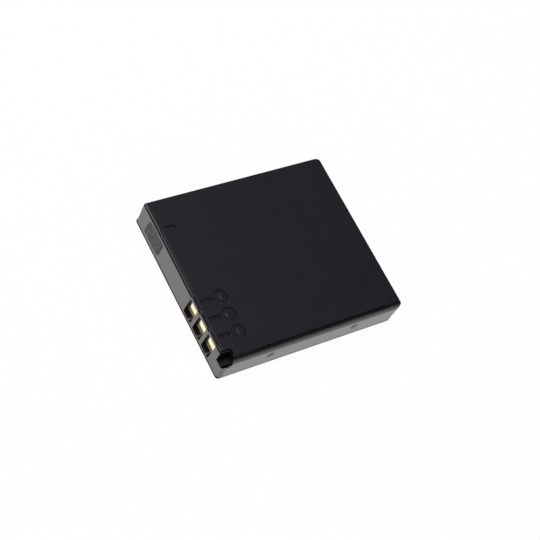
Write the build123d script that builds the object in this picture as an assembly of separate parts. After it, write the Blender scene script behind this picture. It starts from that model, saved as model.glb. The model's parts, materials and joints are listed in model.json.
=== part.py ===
from build123d import *
import os

# Slim rechargeable camera battery, in millimetres.
# X runs from the contact end (-X) to the far end (+X), Y from the front wall to the back wall, Z up.
# The origin is under the middle of the pack, on its underside.

# Overall size
length = 42.0                # from the lip at the contact end to the far end
width = 37.25                # from the front wall to the back wall
height = 5.9                 # from the underside to the top face

# Moulded shells
wall = 0.7                   # front, back and far walls
contact_wall = 0.67          # wall that holds the contact windows
top_wall = 0.75
cover_floor = 0.6
corner_radius = 1.85         # upright corners at the far end, seen from above
contact_corner_radius = 1.05 # upright corners at the contact end
least_inner_radius = 0.2     # upright corners inside the walls are never sharper
front_edge_reach = 1.5       # soft top edge along the front wall, across the top face
front_edge_depth = 0.7       # the same edge, down the front wall
edge_radius = 0.65           # top edges along the back and the far end
inner_edge_radius = 0.6      # inside of the soft front edge
bottom_edge_radius = 0.3
seam_height = 0.85           # from the underside to the seam between case and cover
seam_chamfer = 0.1           # V groove where case and cover meet
fit_clearance = 0.05         # between case and cover, and round the circuit board

# Contact wall, which leans in from its foot to the ledge, and the thin lip at its foot
contact_draft = 0.3
lip_reach = 0.1              # how far the cover stands out past the foot of the contact wall
lip_thickness = 0.15
lip_edge_radius = 0.05
lip_corner_radius = 0.9

# Tongue of the cover, which stands inside the case walls
tongue_wall = 0.35
tongue_height = 0.5

# Step along the top of the contact end
ledge_width = 0.3
ledge_depth = 0.42
step_radius = 0.26
relief_reach = 0.75          # shallow strip beside the step, from the contact wall
relief_depth = 0.1
relief_back_gap = 6.7

# Contact windows and the hoods over them
window_width = 3.0
window_gap = 0.9             # wall left between two windows
first_window_gap = 1.75      # wall left between the keying notch and the first window
window_corner_radius = 0.45  # lower corners
hood_radius = 0.3

# Keying notch at the corner of the contact end and the front
notch_length = 2.95          # along its inner side, above the ledge
notch_front_length = 1.46    # along the front wall
notch_width = 2.72
notch_depth = 2.55
notch_ledge = 0.38           # how much wider the notch is above the ledge
notch_corner_radius = 0.7
notch_rim = 0.25             # thickness of the front wall's rim beside the notch
notch_rim_depth = 1.5        # from the top face down to the rim
notch_rim_radius = 0.15

# Marks sunk into the top face
mark_depth = 0.36
mark_rim = 0.15              # bevel round each mark
disc_diameter = 2.65
disc_from_contact_wall = 5.62
bar_length = 2.3
bar_width = 0.58
bar_from_contact_wall = 2.5
hook_length = 2.1
hook_width = 0.5
hook_tip = 0.6               # oblique end of the hook mark
hook_from_contact_wall = 1.55
hook_from_back = 6.4

# Raised panel on the contact wall and the two dimples in the front wall
panel_width = 6.0
panel_rise = 0.12
panel_radius = 0.6
panel_from_back = 6.65       # middle of the panel
panel_above_seam = 0.25
panel_below_top = 1.2
dimple_diameter = 2.0
dimple_depth = 0.3
dimple_spacing = 19.6
dimple_from_middle = -0.4    # middle of the pair, along X
dimple_from_top = 2.05

# Contacts, circuit board and the parts soldered to the back of the board
contact_clearance = 0.05     # between a contact and the inside of the contact wall
contact_thickness = 0.3
contact_overlap = 0.15       # how far a contact reaches behind the window's sides
pad_rise = 0.25              # raised upper part of a contact, which stands in the window
pad_height = 3.2
pad_bend = 0.9               # lower end of a raised part, curved back to the plate
pad_clearance = 0.1          # between a raised part and the window's sides
foot_width = 0.45            # locating foot of a contact, lying on the window's sill
foot_thickness = 0.2
foot_overhang = 0.05         # how far a foot stands out past the window's sill
foot_from_middle = 0.65
board_thickness = 0.6
rib_thickness = 0.7          # ribs of the case that hold the board from behind
rib_length = 1.0
rib_depth = 1.75
part_gap = 0.3               # between neighbours along the board
capacitor_size = (0.8, 0.8, 1.6)
capacitor_count = 2
switch_size = (0.8, 3.0, 2.2)
switch_lead_count = 4        # along each long side
thermistor_size = (0.5, 0.8, 1.6)
protection_size = (0.8, 2.9, 1.6)
protection_lead_count = 3    # along each long side
resistor_size = (0.45, 0.8, 1.6)
resistor_count = 3
lead_size = (0.25, 0.35, 0.35)

# Cell and what joins it to the board
cell_front_gap = 0.25        # between the notch's inner wall and the cell
cell_side_gap = 0.1
cell_end_gap = 0.2
cell_top_gap = 0.1
cell_edge_radius = 1.3
cell_end_radius = 0.5
adhesive_thickness = 0.15
adhesive_margin = 3.0
paper_thickness = 0.2
paper_margin = 0.3
paper_clearance = 0.2
gasket_size = (0.2, 4.6, 2.0)
terminal_size = (0.53, 3.4, 1.5)
strip_thickness = 0.15
strip_height = 1.4
fuse_size = (0.8, 4.0, 3.0)
positive_foot = 1.8          # flat ends of the strip from the can to the board

# Planes and places worked out from the sizes above
x_lip = -length / 2
x_far = length / 2
y_front = -width / 2
y_back = width / 2
x_foot = x_lip + lip_reach
x_contact = x_foot + contact_draft
x_inside = x_contact + contact_wall
x_step = x_contact + ledge_width
ceiling = height - top_wall
ledge = height - ledge_depth
notch_floor = height - notch_depth
y_notch_side = y_front + notch_width + wall
first_contact = y_front + notch_width + first_window_gap + window_width / 2
contact_pitch = window_width + window_gap
contact_places = [first_contact + 2 * contact_pitch, first_contact + contact_pitch, first_contact]
x_board = x_inside + contact_clearance + contact_thickness
x_board_back = x_board + board_thickness
board_front = y_notch_side + fit_clearance
board_back = y_back - wall - fit_clearance
board_low = cover_floor + fit_clearance
board_high = ceiling - fit_clearance
board_middle = (board_low + board_high) / 2
x_fuse = x_board_back + strip_thickness
x_strap = x_fuse + fuse_size[0]
x_terminal = x_strap + strip_thickness
x_lid = max(x_terminal + terminal_size[0] + gasket_size[0], x_contact + notch_length + wall + cell_front_gap)
x_gasket = x_lid - gasket_size[0]
x_cell_end = x_far - wall - fit_clearance - tongue_wall - cell_end_gap
cell_half = width / 2 - wall - fit_clearance - tongue_wall - cell_side_gap
cell_low = cover_floor + adhesive_thickness
cell_high = ceiling - cell_top_gap
cell_middle = (cell_low + cell_high) / 2
positive_leg = board_back - rib_length - part_gap - positive_foot
fuse_back = positive_leg - positive_foot - part_gap
fuse_middle = fuse_back - fuse_size[1] / 2


def block(x0, x1, y0, y1, z0, z1):
    """A box between two corners."""
    return Pos((x0 + x1) / 2, (y0 + y1) / 2, (z0 + z1) / 2) * Box(x1 - x0, y1 - y0, z1 - z0)


def centred_block(x0, x1, y, z, y_size, z_size):
    """A box from x0 to x1, centred on a line along X."""
    return block(x0, x1, y - y_size / 2, y + y_size / 2, z - z_size / 2, z + z_size / 2)


def plan(x0, x1, contact_end_radius, z0, z1):
    """The pack's outline from above, raised from z0 to z1."""
    outline = Pos((x0 + x1) / 2, 0) * Rectangle(x1 - x0, width)
    outline = fillet(outline.vertices().group_by(Axis.X)[0], contact_end_radius)
    outline = fillet(outline.vertices().group_by(Axis.X)[-1], corner_radius)
    return extrude(Pos(0, 0, z0) * outline, z1 - z0)


def inner_plan(x0, inset, z0, z1):
    """The outline moved in from the walls and cut off square at x0, raised from z0 to z1."""
    x1 = x_far - inset
    outline = Pos((x0 + x1) / 2, 0) * Rectangle(x1 - x0, width - 2 * inset)
    far_corners = outline.vertices().group_by(Axis.X)[-1]
    outline = fillet(far_corners, max(corner_radius - inset, least_inner_radius))
    return extrude(Pos(0, 0, z0) * outline, z1 - z0)


def along_x(section):
    """A section in Y and Z, drawn as a face, run along the whole length."""
    return Pos(x_lip, 0, 0) * extrude(Plane.YZ * section, length)


def along_y(section, y0, y1):
    """A section in X and Z, drawn as a face, run from y0 to y1."""
    return Pos(0, y1, 0) * extrude(Plane.XZ * section, y1 - y0)


def face_of(*lines):
    """A face inside a closed chain of lines and arcs."""
    return make_face(Curve() + list(lines))


def quarter(start, centre, end):
    """A quarter arc from start to end about a centre."""
    radius = abs(end[0] - start[0])
    reach = Vector(*start) + Vector(*end) - Vector(*centre) * 2
    middle = Vector(*centre) + reach.normalized() * radius
    return ThreePointArc(start, (middle.X, middle.Y), end)


def wall_face(z):
    """Where the leaning outer face of the contact wall stands at a height."""
    return x_contact - contact_draft * (ledge - z) / (ledge - lip_thickness)


def case_side_section():
    """Case from the side: contact wall, ledge, step, top face and soft far edge."""
    step_top = height - step_radius
    far_top = height - edge_radius
    x_seam = wall_face(seam_height)
    return face_of(
        Line((x_seam, seam_height), (x_contact, ledge)),
        Line((x_contact, ledge), (x_step, ledge)),
        Line((x_step, ledge), (x_step, step_top)),
        quarter((x_step, step_top), (x_step + step_radius, step_top), (x_step + step_radius, height)),
        Line((x_step + step_radius, height), (x_far - edge_radius, height)),
        quarter((x_far - edge_radius, height), (x_far - edge_radius, far_top), (x_far, far_top)),
        Line((x_far, far_top), (x_far, seam_height + seam_chamfer)),
        Line((x_far, seam_height + seam_chamfer), (x_far - seam_chamfer, seam_height)),
        Line((x_far - seam_chamfer, seam_height), (x_seam, seam_height)))


def case_end_section():
    """Case from the contact end: wide elliptic edge in front, small round one at the back."""
    front_top = height - front_edge_depth
    y_top = y_front + front_edge_reach
    back_top = height - edge_radius
    return face_of(
        Line((y_front, seam_height + seam_chamfer), (y_front, front_top)),
        EllipticalCenterArc((y_top, front_top), front_edge_reach, front_edge_depth, 90, arc_size=90),
        Line((y_top, height), (y_back - edge_radius, height)),
        quarter((y_back - edge_radius, height), (y_back - edge_radius, back_top), (y_back, back_top)),
        Line((y_back, back_top), (y_back, seam_height + seam_chamfer)),
        Line((y_back, seam_height + seam_chamfer), (y_back - seam_chamfer, seam_height)),
        Line((y_back - seam_chamfer, seam_height), (y_front + seam_chamfer, seam_height)),
        Line((y_front + seam_chamfer, seam_height), (y_front, seam_height + seam_chamfer)))


def hood(y):
    """The top plate reaches out over a contact window, with a soft outer edge."""
    x0 = x_contact
    x1 = x_step + step_radius
    hood_top = height - hood_radius
    section = face_of(
        Line((x0, ceiling), (x0, hood_top)),
        quarter((x0, hood_top), (x0 + hood_radius, hood_top), (x0 + hood_radius, height)),
        Line((x0 + hood_radius, height), (x1, height)),
        Line((x1, height), (x1, ceiling)),
        Line((x1, ceiling), (x0, ceiling)))
    return along_y(section, y - window_width / 2, y + window_width / 2)


def window(y):
    """A contact window through the contact wall, from the cover's floor to the top plate."""
    opening = block(x_lip, x_inside, y - window_width / 2, y + window_width / 2, cover_floor, ceiling)
    return fillet(opening.edges().filter_by(Axis.X).group_by(Axis.Z)[0], window_corner_radius)


def notch_section():
    """The notch from the contact end: low front rim, rounded floor, and wider above the ledge."""
    y0 = y_front + notch_rim_radius
    y1 = y_front + notch_rim
    y2 = y_front + notch_width
    y3 = y2 + notch_ledge
    rim_top = height - notch_rim_depth
    rim_low = rim_top - notch_rim_radius
    floor_start = y1 + rim_top - notch_floor
    return face_of(
        Line((y_front, height), (y_front, rim_low)),
        quarter((y_front, rim_low), (y0, rim_low), (y0, rim_top)),
        Line((y0, rim_top), (y1, rim_top)),
        quarter((y1, rim_top), (floor_start, rim_top), (floor_start, notch_floor)),
        Line((floor_start, notch_floor), (y2, notch_floor)),
        Line((y2, notch_floor), (y2, ledge)),
        Line((y2, ledge), (y3, ledge)),
        Line((y3, ledge), (y3, height)),
        Line((y3, height), (y_front, height)))


def notch_cut():
    """The keying notch: its section cut to a slanting plan with a soft inner corner."""
    x1 = x_contact + notch_length
    y1 = y_front + notch_width + notch_ledge
    outline = make_face(Polyline((x_lip, y_front), (x_contact + notch_front_length, y_front), (x1, y1),
                                 (x_lip, y1), close=True))
    outline = fillet(outline.vertices().group_by(Axis.X)[-1], notch_corner_radius)
    return along_x(notch_section()) & extrude(Pos(0, 0, notch_floor) * outline, notch_depth)


def cavity_end_section():
    """The hollow of the case from the contact end, soft behind the soft front edge."""
    y0 = y_front + wall
    y1 = y_back - wall
    r = inner_edge_radius
    return face_of(
        Line((y0, seam_height), (y0, ceiling - r)),
        quarter((y0, ceiling - r), (y0 + r, ceiling - r), (y0 + r, ceiling)),
        Line((y0 + r, ceiling), (y1, ceiling)),
        Line((y1, ceiling), (y1, seam_height)),
        Line((y1, seam_height), (y0, seam_height)))


def case_cavity():
    """The hollow of the case, less the notch's own walls and the board ribs."""
    cavity = inner_plan(x_inside, wall, seam_height, ceiling) & along_x(cavity_end_section())
    cavity -= block(x_contact, x_contact + notch_length + wall, y_front, y_notch_side,
                    notch_floor - wall, height)
    x0 = x_board_back + fit_clearance
    for y0 in (y_notch_side, y_back - wall - rib_length):
        cavity -= block(x0, x0 + rib_thickness, y0, y0 + rib_length, ceiling - rib_depth, ceiling)
    return cavity


def sunk(outline):
    """A mark of the given outline in the top face, with a bevelled rim."""
    low = Pos(0, 0, height - mark_rim) * outline
    high = Pos(0, 0, height) * offset(outline, mark_rim, kind=Kind.INTERSECTION)
    return extrude(Pos(0, 0, height - mark_depth) * outline, mark_depth) + loft([low, high], ruled=True)


def disc_mark(y):
    """A round recess beside each contact."""
    return sunk(Pos(x_contact + disc_from_contact_wall, y) * Circle(disc_diameter / 2))


def bar_mark(y):
    """A short bar sunk between a disc and its contact window."""
    return sunk(Pos(x_contact + bar_from_contact_wall, y) * Rectangle(bar_length, bar_width))


def hook_mark():
    """A bar with an oblique end, sunk near the back corner."""
    x0 = x_contact + hook_from_contact_wall
    x1 = x0 + hook_length
    y1 = y_back - hook_from_back + hook_width / 2
    y0 = y1 - hook_width
    tip = hook_tip / 2
    outline = Polyline((x0, y0), (x1 - hook_tip, y0), (x1, y0 - tip), (x1 + tip, y0), (x1 - tip, y1),
                       (x0, y1), close=True)
    return sunk(make_face(outline))


def raised_panel():
    """A rounded panel that stands out from the leaning contact wall near the back corner."""
    low = seam_height + panel_above_seam
    high = height - panel_below_top
    middle = Pos(y_back - panel_from_back, (low + high) / 2)
    outline = middle * RectangleRounded(panel_width, high - low, panel_radius)
    slab = make_face(Polyline((wall_face(low), low), (wall_face(low) - panel_rise, low),
                              (wall_face(high) - panel_rise, high), (wall_face(high), high), close=True))
    return along_y(slab, y_front, y_back) & along_x(outline)


def dimple(x):
    """A shallow round hollow in the front wall."""
    radius = ((dimple_diameter / 2) ** 2 + dimple_depth ** 2) / (2 * dimple_depth)
    return Pos(x, y_front + dimple_depth - radius, height - dimple_from_top) * Sphere(radius)


def shallow_relief():
    """The slightly lower strip of the top face beside the step, up to a soft edge."""
    x1 = x_contact + relief_reach
    x2 = x1 + relief_depth
    low = height - relief_depth
    section = face_of(
        Line((x_contact, height), (x_contact, low)),
        Line((x_contact, low), (x1, low)),
        quarter((x1, low), (x2, low), (x2, height)),
        Line((x2, height), (x_contact, height)))
    return along_y(section, y_front, y_back - relief_back_gap)


def top_case():
    """The upper shell, with everything moulded into the contact end."""
    case = along_y(case_side_section(), y_front, y_back) & along_x(case_end_section())
    for y in contact_places:
        case += hood(y)
    case &= plan(x_foot, x_far, contact_corner_radius, seam_height, height)
    case -= case_cavity()
    case -= notch_cut()
    case -= shallow_relief()
    for y in contact_places:
        case -= window(y)
        case -= disc_mark(y)
        case -= bar_mark(y)
    case -= hook_mark()
    for side in (-1, 1):
        case -= dimple(dimple_from_middle + side * dimple_spacing / 2)
    case += raised_panel()
    return case


def cover_side_section():
    """Cover from the side: underside, far wall, foot of the contact wall and lip."""
    far = bottom_edge_radius
    r = lip_edge_radius
    x_seam = wall_face(seam_height)
    return face_of(
        Line((x_lip + r, 0), (x_far - far, 0)),
        quarter((x_far - far, 0), (x_far - far, far), (x_far, far)),
        Line((x_far, far), (x_far, seam_height - seam_chamfer)),
        Line((x_far, seam_height - seam_chamfer), (x_far - seam_chamfer, seam_height)),
        Line((x_far - seam_chamfer, seam_height), (x_seam, seam_height)),
        Line((x_seam, seam_height), (x_foot, lip_thickness)),
        Line((x_foot, lip_thickness), (x_lip + r, lip_thickness)),
        quarter((x_lip + r, lip_thickness), (x_lip + r, lip_thickness - r), (x_lip, lip_thickness - r)),
        Line((x_lip, lip_thickness - r), (x_lip, r)),
        quarter((x_lip, r), (x_lip + r, r), (x_lip + r, 0)))


def cover_end_section():
    """Cover from the contact end, with soft lower edges and the seam's groove."""
    r = bottom_edge_radius
    return face_of(
        Line((y_front + r, 0), (y_back - r, 0)),
        quarter((y_back - r, 0), (y_back - r, r), (y_back, r)),
        Line((y_back, r), (y_back, seam_height - seam_chamfer)),
        Line((y_back, seam_height - seam_chamfer), (y_back - seam_chamfer, seam_height)),
        Line((y_back - seam_chamfer, seam_height), (y_front + seam_chamfer, seam_height)),
        Line((y_front + seam_chamfer, seam_height), (y_front, seam_height - seam_chamfer)),
        Line((y_front, seam_height - seam_chamfer), (y_front, r)),
        quarter((y_front, r), (y_front + r, r), (y_front + r, 0)))


def bottom_cover():
    """The lower shell: floor, lip, sills of the windows and a tongue inside the case walls."""
    cover = along_y(cover_side_section(), y_front, y_back) & along_x(cover_end_section())
    cover &= (plan(x_lip, x_far, lip_corner_radius, 0, lip_thickness)
              + plan(x_foot, x_far, contact_corner_radius, lip_thickness, seam_height))
    gap = wall + fit_clearance
    top = seam_height + tongue_height
    cover += inner_plan(x_lid, gap, cover_floor, top)
    cover -= inner_plan(x_lid, gap + tongue_wall, cover_floor, top)
    cover -= block(x_inside, x_lid, y_front + wall, y_back - wall, cover_floor, seam_height)
    for y in contact_places:
        cover -= window(y)
    return cover


def contact(y):
    """A gold plate on the board, raised in its window, with a locating foot on the window's sill."""
    x_plate = x_board - contact_thickness
    plate_half = window_width / 2 + contact_overlap
    plate = block(x_plate, x_board, y - plate_half, y + plate_half, board_low, board_high)
    x_pad = x_plate - pad_rise
    pad_low = board_high - pad_height
    pad_half = window_width / 2 - pad_clearance
    section = face_of(
        Line((x_plate, board_high), (x_pad, board_high)),
        Line((x_pad, board_high), (x_pad, pad_low + pad_bend)),
        EllipticalCenterArc((x_plate, pad_low + pad_bend), pad_rise, pad_bend, 180, arc_size=90),
        Line((x_plate, pad_low), (x_plate, board_high)))
    pad = along_y(section, y - pad_half, y + pad_half)
    foot_y = y - foot_from_middle
    foot = block(wall_face(cover_floor) - foot_overhang, x_board, foot_y - foot_width / 2,
                 foot_y + foot_width / 2, cover_floor, cover_floor + foot_thickness)
    return plate + pad + foot


def circuit_board():
    """The board stands on edge between the contacts and the ribs of the case."""
    return block(x_board, x_board_back, board_front, board_back, board_low, board_high)


def soldered_part(size, y, leads):
    """A part on the back of the board, with a row of leads along each long side."""
    part = centred_block(x_board_back, x_board_back + size[0], y, board_middle, size[1], size[2])
    lead_z = (size[2] + lead_size[2]) / 2
    for number in range(leads):
        lead_y = y + (number - (leads - 1) / 2) * size[1] / leads
        for side in (-1, 1):
            part += centred_block(x_board_back, x_board_back + lead_size[0], lead_y,
                                  board_middle + side * lead_z, lead_size[1], lead_size[2])
    return part


def cell_can():
    """The sealed cell: a drawn can with round narrow sides and its welded lid."""
    outline = RectangleRounded(2 * cell_half, cell_high - cell_low, cell_edge_radius)
    can = Pos(x_lid, 0, 0) * extrude(Plane.YZ * (Pos(0, cell_middle) * outline), x_cell_end - x_lid)
    return fillet(can.edges().group_by(Axis.X)[-1], cell_end_radius)


def on_lid(x0, x1, y_size, z_size):
    """A box centred on the middle of the cell's lid."""
    return centred_block(x0, x1, 0, cell_middle, y_size, z_size)


def insulating_paper():
    """A strip of paper on the lid, cut out round the terminal and short of the welded tab."""
    x0 = x_lid - paper_thickness
    paper = block(x0, x_lid, cell_edge_radius - cell_half, positive_leg - positive_foot - paper_clearance,
                  cell_low + paper_margin, cell_high - paper_margin)
    opening = on_lid(x0, x_lid, gasket_size[1] + 2 * paper_clearance, gasket_size[2] + 2 * paper_clearance)
    return paper - opening


def strip(x0, x1, y0, y1):
    """A flat length of nickel strip, centred on the cell's thickness."""
    return block(x0, x1, y0, y1, cell_middle - strip_height / 2, cell_middle + strip_height / 2)


def positive_tab():
    """A nickel strip from the can's lid up to the board, bent twice."""
    weld = strip(x_lid - strip_thickness, x_lid, positive_leg - positive_foot, positive_leg)
    leg = strip(x_board_back, x_lid, positive_leg - strip_thickness, positive_leg)
    solder = strip(x_board_back, x_board_back + strip_thickness, positive_leg - strip_thickness,
                   positive_leg + positive_foot)
    return weld + leg + solder


def adhesive_pad():
    """A thin pad that holds the cell to the cover."""
    half = cell_half - adhesive_margin
    return block(x_lid + adhesive_margin, x_cell_end - adhesive_margin, -half, half, cover_floor, cell_low)


nodes = {
    "top_case": top_case(),
    "bottom_cover": bottom_cover(),
    "circuit_board": circuit_board(),
    "fuse_lead": strip(x_board_back, x_fuse, fuse_back - fuse_size[1], fuse_back),
    "thermal_fuse": centred_block(x_fuse, x_strap, fuse_middle, cell_middle, fuse_size[1], fuse_size[2]),
    "negative_strap": strip(x_strap, x_terminal, -terminal_size[1] / 2, fuse_back),
    "negative_terminal": on_lid(x_terminal, x_gasket, terminal_size[1], terminal_size[2]),
    "terminal_gasket": on_lid(x_gasket, x_lid, gasket_size[1], gasket_size[2]),
    "positive_tab": positive_tab(),
    "insulating_paper": insulating_paper(),
    "cell_can": cell_can(),
    "adhesive_pad": adhesive_pad(),
}
for name, place in zip(("positive", "temperature", "negative"), contact_places):
    nodes[f"contact_{name}"] = contact(place)

# The row of parts along the back of the board, each with its size and its leads on a side
board_row = [(f"capacitor_{number + 1}", capacitor_size, 0) for number in range(capacitor_count)]
board_row.append(("power_switch", switch_size, switch_lead_count))
board_row.append(("thermistor", thermistor_size, 0))
board_row.append(("protection_chip", protection_size, protection_lead_count))
board_row += [(f"resistor_{number + 1}", resistor_size, 0) for number in range(resistor_count)]
place = board_front + rib_length + part_gap
for name, size, leads in board_row:
    nodes[name] = soldered_part(size, place + size[1] / 2, leads)
    place += size[1] + part_gap

os.makedirs("parts", exist_ok=True)
for name, shape in nodes.items():
    export_step(shape, f"parts/{name}.step")
    print(name, round(shape.volume, 3), "mm3")
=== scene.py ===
# %% [markdown]
# # A slim camera battery
# The object is a flat rechargeable pack for a compact camera: two black moulded shells with a
# sealed cell, a small circuit board and three gold contacts inside. Its solids come ready made in a
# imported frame, at real size and in metres. This lesson gives them their finish, adds the small
# raised signs of the contacts, and sets up the floor, the light and the camera.

# %% Load the frame
import json
import math

import bmesh
import bpy
from mathutils import Euler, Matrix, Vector


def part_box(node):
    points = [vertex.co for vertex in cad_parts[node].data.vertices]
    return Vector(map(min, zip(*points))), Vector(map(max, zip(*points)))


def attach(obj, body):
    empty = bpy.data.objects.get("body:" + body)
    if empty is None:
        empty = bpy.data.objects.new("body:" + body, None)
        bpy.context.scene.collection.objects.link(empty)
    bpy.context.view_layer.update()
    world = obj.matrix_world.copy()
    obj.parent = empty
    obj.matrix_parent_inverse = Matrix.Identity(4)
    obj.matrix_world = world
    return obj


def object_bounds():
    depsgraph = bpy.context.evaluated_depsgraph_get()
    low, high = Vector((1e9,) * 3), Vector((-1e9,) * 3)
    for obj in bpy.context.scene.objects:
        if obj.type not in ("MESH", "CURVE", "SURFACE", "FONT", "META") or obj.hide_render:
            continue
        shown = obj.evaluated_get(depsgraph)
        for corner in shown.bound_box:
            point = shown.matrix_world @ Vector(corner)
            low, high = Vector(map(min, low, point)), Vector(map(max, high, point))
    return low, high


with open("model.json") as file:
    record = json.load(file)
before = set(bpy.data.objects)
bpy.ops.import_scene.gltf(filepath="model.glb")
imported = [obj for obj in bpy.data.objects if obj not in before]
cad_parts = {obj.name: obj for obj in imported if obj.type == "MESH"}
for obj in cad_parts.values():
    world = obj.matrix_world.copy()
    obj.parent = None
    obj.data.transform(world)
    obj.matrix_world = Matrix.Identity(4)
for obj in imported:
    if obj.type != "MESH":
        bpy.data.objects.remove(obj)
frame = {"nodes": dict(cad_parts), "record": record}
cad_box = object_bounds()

MM = 0.001


def in_mm(values):
    """Lengths as rounded millimetres, for printing."""
    return [round(v / MM, 2) for v in values]


print("nodes:", len(frame["nodes"]), "box in mm:", [in_mm(corner) for corner in cad_box])

# %% [markdown]
# ## Camera
# The pack is seen from above its contact end, and the picture is turned, so that the long sides run
# slantwise. One way to place such a camera is to type in its rotation. Here it stands on a sphere
# about a point in the pack instead: an azimuth, an elevation and a distance, and then a roll about
# its own line of sight. The lamp will be placed by the same two helpers. A long lens keeps the
# perspective gentle, as in product photographs.

# %% Camera
camera_target = Vector((-0.88, -1.532, 2.94)) * MM
camera_distance = 264.5 * MM
camera_roll = math.radians(32.0)


def bearing(azimuth, elevation):
    """The direction to a place on a sphere about the pack, from two angles in degrees."""
    turn = Euler((0, math.pi / 2 - math.radians(elevation), math.radians(azimuth)))
    return turn.to_matrix() @ Vector((0, 0, 1))


def look_back(thing, direction, roll=0.0):
    """Turns a camera or a lamp so that it looks back along the direction in which it stands."""
    thing.rotation_mode = "QUATERNION"
    turn = Euler((0, 0, roll)).to_quaternion()
    thing.rotation_quaternion = direction.to_track_quat("Z", "Y") @ turn


camera_data = bpy.data.cameras.new("camera")
camera_data.sensor_width = 36.0
camera_data.lens = 88.85
camera_data.clip_start = 1 * MM
camera = bpy.data.objects.new("camera", camera_data)
bpy.context.scene.collection.objects.link(camera)
bpy.context.scene.camera = camera

# The pack's outline in the picture settles these two angles
sight = bearing(azimuth=-144.82, elevation=54.04)
camera.location = camera_target + camera_distance * sight
look_back(camera, sight, camera_roll)
print("camera at", in_mm(camera.location), "mm")

# %% [markdown]
# ## Helpers for node trees
# Every finish below is a small tree of shader nodes. Adding a node, setting it and wiring its
# inputs takes several lines each time, so one helper does all three: a plain value fills a socket,
# and a socket is linked to it. Most of what follows is arithmetic on such sockets, so a Math node
# and a Map Range node get a helper each as well.

# %% Node helpers
def connect(tree, node, inputs):
    """Fills a node's inputs with plain values, or links other nodes' sockets to them."""
    for name, value in inputs.items():
        socket = node.inputs[name]
        if isinstance(value, bpy.types.NodeSocket):
            tree.links.new(value, socket)
        else:
            socket.default_value = value


def add(tree, kind, inputs=None, **settings):
    """Adds a shader node, sets its properties and fills or links its inputs."""
    node = tree.nodes.new("ShaderNode" + kind)
    for name, value in settings.items():
        setattr(node, name, value)
    connect(tree, node, inputs or {})
    return node


def new_finish(name):
    """A new material with its tree and its Principled shader."""
    material = bpy.data.materials.new(name)
    material.use_nodes = True
    tree = material.node_tree
    return material, tree, tree.nodes["Principled BSDF"]


def calculate(tree, operation, *values):
    """The result of a Math node."""
    return add(tree, "Math", dict(enumerate(values)), operation=operation).outputs[0]


def times(tree, first, *others):
    """The product of several values."""
    for other in others:
        first = calculate(tree, "MULTIPLY", first, other)
    return first


def largest(tree, first, *others):
    """The largest of several values."""
    for other in others:
        first = calculate(tree, "MAXIMUM", first, other)
    return first


def ramp(tree, value, low, high, to_low=0.0, to_high=1.0, shape="SMOOTHSTEP"):
    """Maps a value from one range to another."""
    limits = {"From Min": low, "From Max": high, "To Min": to_low, "To Max": to_high}
    return add(tree, "MapRange", {"Value": value} | limits, interpolation_type=shape).outputs["Result"]


def dot(tree, a, b):
    """The dot product of two directions."""
    return add(tree, "VectorMath", {0: a, 1: b}, operation="DOT_PRODUCT").outputs["Value"]


print("node helpers ready")

# %% [markdown]
# ## Floor
# The pack lies on a white sweep, and black plastic shows mostly what it mirrors: its walls look
# grey because they mirror the bright floor. More light would make the floor white too, but it would
# also bleach the pack. So the floor glows white only for the camera and for reflections, and its
# pale plain surface still takes a soft shadow.

# %% Floor
floor_size = 1.2
floor_drop = 0.02 * MM
floor_glow = 0.97

floor_mesh = bpy.data.meshes.new("floor")
build = bmesh.new()
bmesh.ops.create_grid(build, x_segments=1, y_segments=1, size=floor_size)
build.to_mesh(floor_mesh)
build.free()
floor = bpy.data.objects.new("floor", floor_mesh)
bpy.context.scene.collection.objects.link(floor)
floor.location.z = -floor_drop

white_sweep, tree, shader = new_finish("white_sweep")
connect(tree, shader, {"Base Color": (0.86, 0.86, 0.86, 1), "Roughness": 0.9, "Specular IOR Level": 0.0})
path = add(tree, "LightPath").outputs
seen = largest(tree, path["Is Camera Ray"], path["Is Glossy Ray"], path["Is Transmission Ray"])
glow = add(tree, "Emission", {"Color": (1, 1, 1, 1), "Strength": 1.0})
share = times(tree, seen, floor_glow)
shown = add(tree, "MixShader", {0: share, 1: shader.outputs[0], 2: glow.outputs[0]})
connect(tree, tree.nodes["Material Output"], {"Surface": shown.outputs[0]})
floor_mesh.materials.append(white_sweep)
print("floor", in_mm(floor.dimensions), "mm")

# %% [markdown]
# ## Sky and lamp
# The top of the pack looks black because the studio above it is dark. The sky is bright near the
# ground in front of the long wall and fades away at sixty degrees up, and its reflection draws the
# soft gradient along the front edge. A picture of a studio could give such a sky. A few nodes that
# ask how high and how far to the side a ray goes are easier to tune. One large lamp, high up behind
# the pack, lights the top at a plain level.

# %% Sky
bright_side = Vector((-0.4, -0.917, 0.0))
dark_above = math.radians(60)
dim_sky, bright_sky = 0.02, 1.25

world = bpy.data.worlds.new("studio")
world.use_nodes = True
bpy.context.scene.world = world
tree = world.node_tree
ray = add(tree, "TexCoord").outputs["Generated"]
climb = calculate(tree, "ARCSINE", add(tree, "SeparateXYZ", {"Vector": ray}).outputs["Z"])
fading = calculate(tree, "POWER", ramp(tree, climb, 0.0, dark_above, 1.0, 0.0, shape="LINEAR"), 0.5)
on_side = ramp(tree, dot(tree, ray, bright_side), -0.15, 0.2)
brightness = ramp(tree, times(tree, fading, on_side), 0.0, 1.0, dim_sky, bright_sky, shape="LINEAR")
connect(tree, tree.nodes["Background"], {"Color": (1, 1, 1, 1), "Strength": brightness})
print("sky from", dim_sky, "to", bright_sky)

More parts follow.
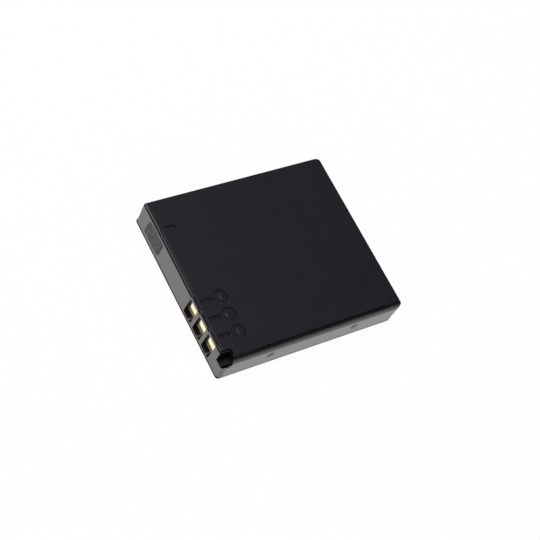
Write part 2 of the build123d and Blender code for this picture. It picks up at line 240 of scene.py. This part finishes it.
# %% Lamp
lamp_distance = 0.7
lamp_data = bpy.data.lights.new("key_lamp", "AREA")
lamp_data.size = 0.35
lamp_data.energy = 3.4
lamp = bpy.data.objects.new("key_lamp", lamp_data)
bpy.context.scene.collection.objects.link(lamp)
toward_lamp = bearing(azimuth=100, elevation=70)
lamp.location = lamp_distance * toward_lamp
look_back(lamp, toward_lamp)
bpy.context.scene.view_settings.view_transform = "Standard"
print("lamp at", in_mm(lamp.location), "mm")

# %% [markdown]
# ## Where each finish of the case lies
# Both shells are one black plastic, and the mould gives it several finishes. The flat of the top
# face is spark-eroded, so it is matte. The walls and edges are satin, and the raised panel on the
# contact wall is rough. The edge of the step above the contacts gets a painted highlight, a lighter
# grey that grows toward the back. The hollows, the rims of the sunk marks and the thin lip at the foot
# stay dull.
# Several materials would need the faces sorted. One material with masks is simpler: each mask asks
# where a point lies on the pack and which way its surface faces.

# %% Places on the case
case_low, case_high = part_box("top_case")
foot_x = cad_box[0][0]
contact_wall_x = foot_x + 0.4 * MM
ledge_height = 5.48 * MM
wall_lean = 0.3 / 5.33
wall_at_floor = contact_wall_x - wall_lean * ledge_height
matte_from_front = case_low.y + 1.45 * MM
matte_from_contacts = contact_wall_x + 0.4 * MM
relief_edge = contact_wall_x + 0.75 * MM
sunk_level = case_high.z - 0.38 * MM
places = (contact_wall_x, matte_from_front, relief_edge)
print("contact wall, start of the matte top and relief edge at", in_mm(places), "mm")


# %% Mask helpers
def within(tree, value, low, high):
    """One where a value lies between two limits, and zero elsewhere."""
    return calculate(tree, "COMPARE", value, (low + high) / 2, (high - low) / 2)


def inside(tree, across, **limits):
    """One where a point lies inside the limits given along X, Y or Z, and zero elsewhere."""
    return times(tree, *(within(tree, across[axis], *pair) for axis, pair in limits.items()))


case_plastic, tree, shader = new_finish("case_plastic")
place = add(tree, "TexCoord").outputs["Object"]
normal = add(tree, "NewGeometry").outputs["True Normal"]
across = add(tree, "SeparateXYZ", {"Vector": place}).outputs
facing = add(tree, "SeparateXYZ", {"Vector": normal}).outputs
upright_x = calculate(tree, "MULTIPLY_ADD", across["Z"], -wall_lean, across["X"])
print("masks measure", [socket.name for socket in across])

# %% Matte top and rough panel
# Faces that tilt less than about fifty degrees look up
looks_up = ramp(tree, facing["Z"], 0.55, 0.68)
near_top = ramp(tree, across["Z"], sunk_level - 0.02 * MM, sunk_level)
behind_front_edge = ramp(tree, across["Y"], matte_from_front, matte_from_front + 0.1 * MM)
past_step = ramp(tree, across["X"], matte_from_contacts, matte_from_contacts + 0.05 * MM)
on_relief_edge = within(tree, across["X"], relief_edge, relief_edge + 0.07 * MM)
off_relief_edge = calculate(tree, "MULTIPLY_ADD", on_relief_edge, -0.25, past_step)
matte = times(tree, looks_up, near_top, behind_front_edge, off_relief_edge)

# The panel stands out a little from the leaning contact wall
faces_out = ramp(tree, facing["X"], -0.9, -0.8, 1.0, 0.0)
stands_out = ramp(tree, upright_x, wall_at_floor - 0.09 * MM, wall_at_floor - 0.05 * MM, 1.0, 0.0)
rough = times(tree, faces_out, stands_out, inside(tree, across, Z=(1.2 * MM, 4.6 * MM)))
print("matte and rough masks ready")

# %% Dull places and the painted highlight on the step edge
behind_contact_wall = within(tree, upright_x, wall_at_floor + 0.03 * MM, case_high.x - 2.0 * MM)
in_hollows = times(tree, behind_contact_wall, inside(
    tree, across,
    Y=(case_low.y + 1.2 * MM, case_high.y - 1.2 * MM),
    Z=(0.35 * MM, sunk_level),
))
# The bevels of the marks are steeper than the flat they are sunk into
steep = ramp(tree, dot(tree, normal, (-0.3, 0.0, 0.954)), 0.86, 0.92, 1.0, 0.0)
on_rims = times(tree, steep, inside(
    tree, across,
    X=(contact_wall_x + 1.2 * MM, contact_wall_x + 7.5 * MM),
    Y=(case_low.y + 3.3 * MM, case_high.y - 5.5 * MM),
    Z=(5.4 * MM, 6.0 * MM),
))
on_lip = inside(tree, across, X=(foot_x - 0.1 * MM, foot_x + 0.09 * MM), Z=(-0.1 * MM, 0.2 * MM))
dull = largest(tree, in_hollows, on_rims, on_lip)

# The lighter grey on the step's edge is a painted highlight, put where its small rounding catches light
at_step = inside(
    tree, across,
    X=(contact_wall_x + 0.2 * MM, contact_wall_x + 0.8 * MM),
    Z=(case_high.z - 0.28 * MM, case_high.z - 0.02 * MM),
)
faces_contacts = ramp(tree, facing["X"], -0.5, -0.3, 1.0, 0.0)
# The painted highlight grows from the windows to the back corner
toward_back = ramp(tree, across["Y"], -5 * MM, 13 * MM, 0.25, 1.0)
painted_step_highlight = times(tree, at_step, faces_contacts, toward_back)
print("dull and worn masks ready")

# %% [markdown]
# ## Black case plastic
# On the real pack the finishes are one plastic that scatters and mirrors light in different
# amounts. So the masks lay one finish over another, like coats of paint, in the colour, the
# roughness and the index of refraction. The satin walls mirror most and the matte top least. Cloudy
# patches in the colour and a fine grain in the bump keep the plastic from looking computed.

# %% Coats and patterns
def blend(tree, factor, a, b):
    """A value between two values."""
    return add(tree, "Mix", {"Factor": factor, "A": a, "B": b}, data_type="FLOAT").outputs["Result"]


def mix_colour(tree, factor, a, b):
    """A colour between two colours."""
    return add(tree, "Mix", {0: factor, 6: a, 7: b}, data_type="RGBA").outputs[2]


def coats(tree, mix, first, *others):
    """A first value with others over it, each with the mask that shows it."""
    for mask, value in others:
        first = mix(tree, mask, first, value)
    return first


def noise(tree, place, scale, detail=3.0, roughness=0.5):
    """A noise pattern."""
    settings = {"Vector": place, "Scale": scale, "Detail": detail, "Roughness": roughness}
    return add(tree, "TexNoise", settings).outputs["Fac"]


def bump(tree, strength, depth, height, **before):
    """The normals of a surface that a pattern roughens."""
    settings = {"Strength": strength, "Distance": depth, "Height": height}
    return add(tree, "Bump", settings | before).outputs["Normal"]


grain = noise(tree, place, 9000.0, detail=2.0, roughness=0.6)
clouds = noise(tree, place, 260.0, detail=4.0, roughness=0.55)
pits = ramp(tree, noise(tree, place, 1400.0), 0.35, 0.65)
print("patterns ready")

# %% Case plastic
satin_black = (0.0045, 0.0043, 0.0048, 1)
# A lighter grey for the painted highlight on the edge of the step above the contacts
step_highlight_grey = (0.085, 0.081, 0.083, 1)
cloudy = ramp(tree, clouds, 0.3, 0.7)
matte_black = mix_colour(tree, cloudy, (0.0060, 0.0061, 0.0113, 1), (0.0076, 0.0077, 0.0136, 1))
rough_black = mix_colour(tree, pits, (0.012, 0.010, 0.009, 1), (0.025, 0.021, 0.019, 1))
colour = coats(tree, mix_colour, satin_black,
               (painted_step_highlight, step_highlight_grey), (matte, matte_black), (rough, rough_black))

satin_roughness = ramp(tree, clouds, 0.3, 0.7, 0.15, 0.20)
matte_roughness = ramp(tree, grain, 0.2, 0.8, 0.50, 0.62)
panel_roughness = ramp(tree, pits, 0.0, 1.0, 0.48, 0.36)
roughness = coats(tree, blend, satin_roughness,
                  (matte, matte_roughness), (rough, panel_roughness), (dull, 0.5))

connect(tree, shader, {
    "Base Color": colour,
    "Roughness": roughness,
    "IOR": coats(tree, blend, 1.98, (faces_out, 2.2), (matte, 1.3), (rough, 1.5), (dull, 1.3)),
    "Specular Tint": (1.0, 0.93, 0.93, 1),
    "Normal": bump(tree, rough, 0.03 * MM, pits, Normal=bump(tree, matte, 0.006 * MM, grain)),
})
print("case plastic has", len(tree.nodes), "nodes")

# %% [markdown]
# ## Gold contacts
# The contacts are sheet metal with a bright gold plating, and each has a pad that stands out
# towards its window and bends away at its lower end. A metallic shader needs no drawn highlight:
# the flat of the pad mirrors the white floor, and the bend mirrors the black sill. Low down the gold
# is rougher and has a painted shade, a deeper colour, and the foot on the sill is black. Rolling marks
# run along the sheet, so a stretched noise makes fine streaks in the roughness and the bump.

# %% Gold plating
contact_gold, tree, shader = new_finish("contact_gold")
place = add(tree, "TexCoord").outputs["Object"]
height = add(tree, "SeparateXYZ", {"Vector": place}).outputs["Z"]
# Low down the gold is rougher and gets a painted shade, a deeper colour
low_down_shade_and_roughness = ramp(tree, height, 1.4 * MM, 3.3 * MM, 1.0, 0.0)
plated = ramp(tree, height, 0.95 * MM, 1.0 * MM)
along_sheet = add(tree, "Mapping", {"Vector": place, "Scale": (4000, 6000, 500)}).outputs["Vector"]
streaks = noise(tree, along_sheet, 1.0)
tarnish = ramp(tree, noise(tree, place, 900.0), 0.35, 0.75)
bright_gold = mix_colour(tree, tarnish, (1.0, 0.96, 0.66, 1), (0.96, 0.89, 0.55, 1))
# The deeper gold low down is painted shade
gold = mix_colour(tree, low_down_shade_and_roughness, bright_gold, (0.88, 0.64, 0.32, 1))
connect(tree, shader, {
    "Base Color": mix_colour(tree, plated, satin_black, gold),
    "Metallic": plated,
    "Roughness": blend(tree, low_down_shade_and_roughness, ramp(tree, streaks, 0.2, 0.8, 0.08, 0.15), 0.45),
    "IOR": 2.0,
    "Normal": bump(tree, 0.15, 0.001 * MM, streaks),
})
print("contact gold has", len(tree.nodes), "nodes")

# %% [markdown]
# ## What is inside
# The board, the chips, the strips and the cell can hardly be seen, but someone may take the pack
# apart, so each has the finish of the real thing. Most share a pattern: a base colour that drifts a
# little, a roughness that drifts with it, and a fine bump. A short function takes those values. The
# weave of the board and the drawing marks of the can are patterns of their own, so these two get a
# function each.

# %% Plain inner finishes
def plain_finish(name, colour, drift, roughness, metallic, grain_size, depth):
    """A finish that drifts over a grain, whose size and depth are given in millimetres."""
    material, tree, shader = new_finish(name)
    place = add(tree, "TexCoord").outputs["Object"]
    grain = noise(tree, place, 1 / (grain_size * MM))
    drifting = ramp(tree, grain, 0.3, 0.7)
    darker = tuple(v * (1 - drift) for v in colour) + (1,)
    connect(tree, shader, {
        "Base Color": mix_colour(tree, drifting, darker, colour + (1,)),
        "Roughness": ramp(tree, grain, 0.3, 0.7, roughness - 0.06, roughness + 0.06),
        "Metallic": metallic,
        "Normal": bump(tree, 0.4, depth * MM, grain),
    })
    return material


finishes = {"case_plastic": case_plastic, "contact_gold": contact_gold}
for name, *values in (
    ("chip_resin", (0.03, 0.03, 0.032), 0.3, 0.55, 0.0, 0.05, 0.004),
    ("chip_ceramic", (0.42, 0.34, 0.26), 0.25, 0.45, 0.0, 0.2, 0.003),
    ("nickel_strip", (0.62, 0.60, 0.56), 0.12, 0.32, 1.0, 0.3, 0.003),
    ("fuse_resin", (0.75, 0.72, 0.62), 0.1, 0.5, 0.0, 0.1, 0.003),
    ("gasket_resin", (0.55, 0.55, 0.53), 0.1, 0.5, 0.0, 0.1, 0.003),
    ("insulating_paper", (0.42, 0.50, 0.40), 0.2, 0.85, 0.0, 0.12, 0.01),
    ("adhesive_foam", (0.70, 0.70, 0.68), 0.15, 0.9, 0.0, 0.08, 0.02),
):
    finishes[name] = plain_finish(name, *values)
print("finishes so far:", len(finishes))


# %% Board and can
def woven_board():
    """Green solder mask over a glass weave, whose threads show as a fine crossing pattern."""
    material, tree, shader = new_finish("board_laminate")
    place = add(tree, "TexCoord").outputs["Object"]
    threads = {"Vector": place, "Scale": 600.0, "Distortion": 1.5, "Detail": 1.0}
    waves = [add(tree, "TexWave", threads, bands_direction=axis).outputs["Fac"] for axis in "YZ"]
    weave = times(tree, *waves)
    connect(tree, shader, {
        "Base Color": mix_colour(tree, weave, (0.016, 0.10, 0.04, 1), (0.035, 0.17, 0.075, 1)),
        "Roughness": ramp(tree, weave, 0.0, 1.0, 0.28, 0.40),
        "Normal": bump(tree, 0.3, 0.01 * MM, weave),
    })
    return material


def drawn_can():
    """Bare aluminium with the long marks that drawing a can through a die leaves."""
    material, tree, shader = new_finish("cell_aluminium")
    place = add(tree, "TexCoord").outputs["Object"]
    along_can = add(tree, "Mapping", {"Vector": place, "Scale": (150, 5000, 5000)}).outputs["Vector"]
    marks = noise(tree, along_can, 1.0)
    marked = ramp(tree, marks, 0.3, 0.7)
    connect(tree, shader, {
        "Base Color": mix_colour(tree, marked, (0.66, 0.67, 0.68, 1), (0.76, 0.77, 0.78, 1)),
        "Metallic": 1.0,
        "Roughness": ramp(tree, marks, 0.3, 0.7, 0.28, 0.42),
        "Normal": bump(tree, 0.3, 0.004 * MM, marks),
    })
    return material


finishes["board_laminate"] = woven_board()
finishes["cell_aluminium"] = drawn_can()
for part in frame["record"]["subparts"]:
    node = frame["nodes"][part["node"]]
    node.data.materials.clear()
    node.data.materials.append(finishes[part["material_slot"]])

# %% [markdown]
# ## Raised signs
# In each round recess a small sign stands up from the floor and tells which contact is which: plus,
# T for the temperature sensor, minus. Text objects would give flat letters with sharp edges.
# Moulded signs are round-backed ridges, so each stroke is a capsule: a ball whose halves are pulled
# apart, sunk to its middle in the recess floor. They are the case's black, a little worn on their
# backs, which is what makes them show.

# %% Sign plastic
sign_plastic, tree, shader = new_finish("sign_plastic")
wear = noise(tree, add(tree, "TexCoord").outputs["Object"], 2600.0, detail=2.0)
rubbed = ramp(tree, wear, 0.3, 0.7)
connect(tree, shader, {
    "Base Color": mix_colour(tree, rubbed, (0.006, 0.006, 0.009, 1), (0.010, 0.010, 0.014, 1)),
    "Roughness": ramp(tree, wear, 0.3, 0.7, 0.5, 0.3),
    "IOR": 1.55,
})
print("sign plastic has", len(tree.nodes), "nodes")

# %% Signs
disc_x = contact_wall_x + 5.62 * MM
disc_floor = case_high.z - 0.36 * MM
stroke_radius = 0.16 * MM


def stroke(build, start, end):
    """A capsule between two points."""
    along = end - start
    ball = bmesh.ops.create_uvsphere(build, u_segments=16, v_segments=12, radius=stroke_radius)["verts"]
    turn = along.to_track_quat("Z", "Y").to_matrix().to_4x4()
    for vertex in ball:
        shift = along.length if vertex.co.z > 0 else 0.0
        vertex.co = turn @ (vertex.co + Vector((0, 0, shift))) + start


def sign(name, contact, strokes):
    """A sign in the recess beside a contact; its strokes are in millimetres from the recess's middle."""
    low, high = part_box(contact)
    middle = Vector((disc_x, (low.y + high.y) / 2, disc_floor))
    build = bmesh.new()
    for x0, y0, x1, y1 in strokes:
        stroke(build, middle + Vector((x0, y0, 0)) * MM, middle + Vector((x1, y1, 0)) * MM)
    mesh = bpy.data.meshes.new(name)
    build.to_mesh(mesh)
    build.free()
    mesh.polygons.foreach_set("use_smooth", [True] * len(mesh.polygons))
    mesh.materials.append(sign_plastic)
    piece = bpy.data.objects.new(name, mesh)
    bpy.context.scene.collection.objects.link(piece)
    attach(piece, "root")
    print(name, "at", in_mm(middle), "mm")


sign("sign_plus", "contact_positive", [(-0.7, 0, 0.7, 0), (0, -0.7, 0, 0.7)])
sign("sign_t", "contact_temperature", [(-0.65, -0.6, -0.65, 0.6), (-0.65, 0, 0.7, 0)])
sign("sign_minus", "contact_negative", [(0, -0.65, 0, 0.65)])
